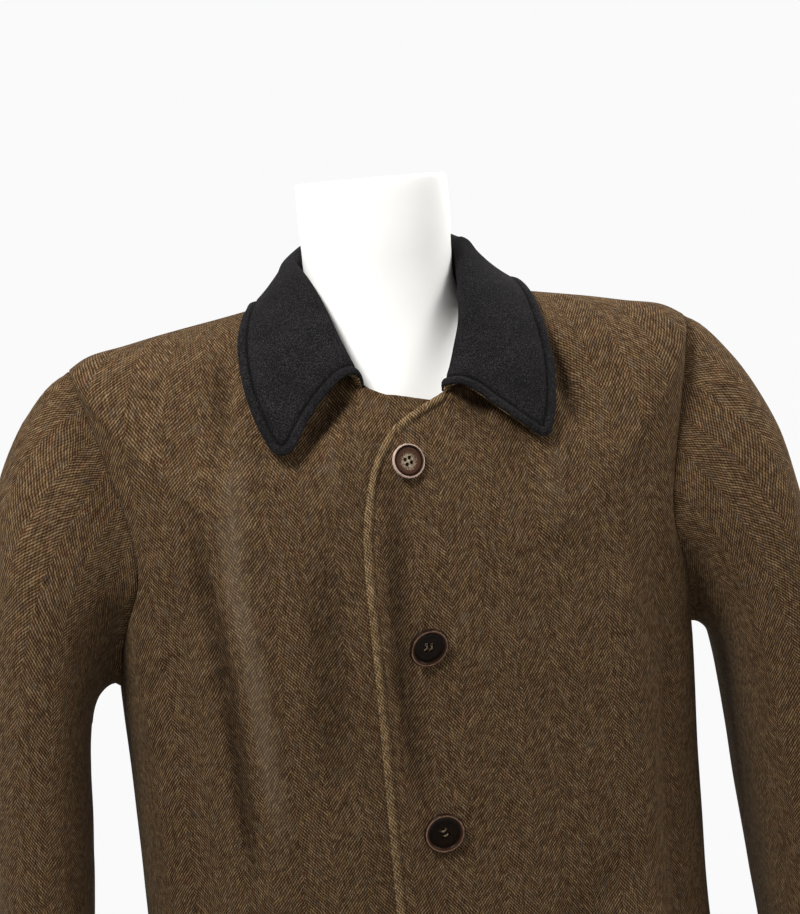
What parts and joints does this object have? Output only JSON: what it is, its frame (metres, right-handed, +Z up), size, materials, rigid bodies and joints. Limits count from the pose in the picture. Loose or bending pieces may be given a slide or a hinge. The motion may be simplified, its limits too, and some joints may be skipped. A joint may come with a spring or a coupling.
{
  "type": "wool coat on a dress form",
  "caption": "Single-breasted herringbone wool coat with a dark contrast collar, buttoned closed over a limbless dress form that stands on a pole and a round base.",
  "frame": {"origin": "on the floor, under the middle of the stand's round base", "axes": "+Z up along the pole; the coat faces -Y; +X is the wearer's left"},
  "size_m": [0.658, 0.38, 1.5435],
  "materials": {
    "tweed": "olive-brown herringbone wool, soft nap",
    "melton": "charcoal felted wool",
    "horn": "mottled brown horn, polished",
    "form_white": "smooth white satin",
    "steel": "brushed",
    "base_enamel": "white enamel, satin"
  },
  "bodies": {
    "root": {"front_left": "tweed", "front_right": "tweed", "back": "tweed", "sleeve_left": "tweed", "sleeve_right": "tweed", "collar_top": "melton", "collar_under": "tweed", "button_1": "horn", "button_2": "horn", "button_3": "horn", "button_4": "horn", "form_body": "form_white", "form_flange": "steel", "stand_pole": "steel", "stand_base": "base_enamel"}
  },
  "joints": []
}
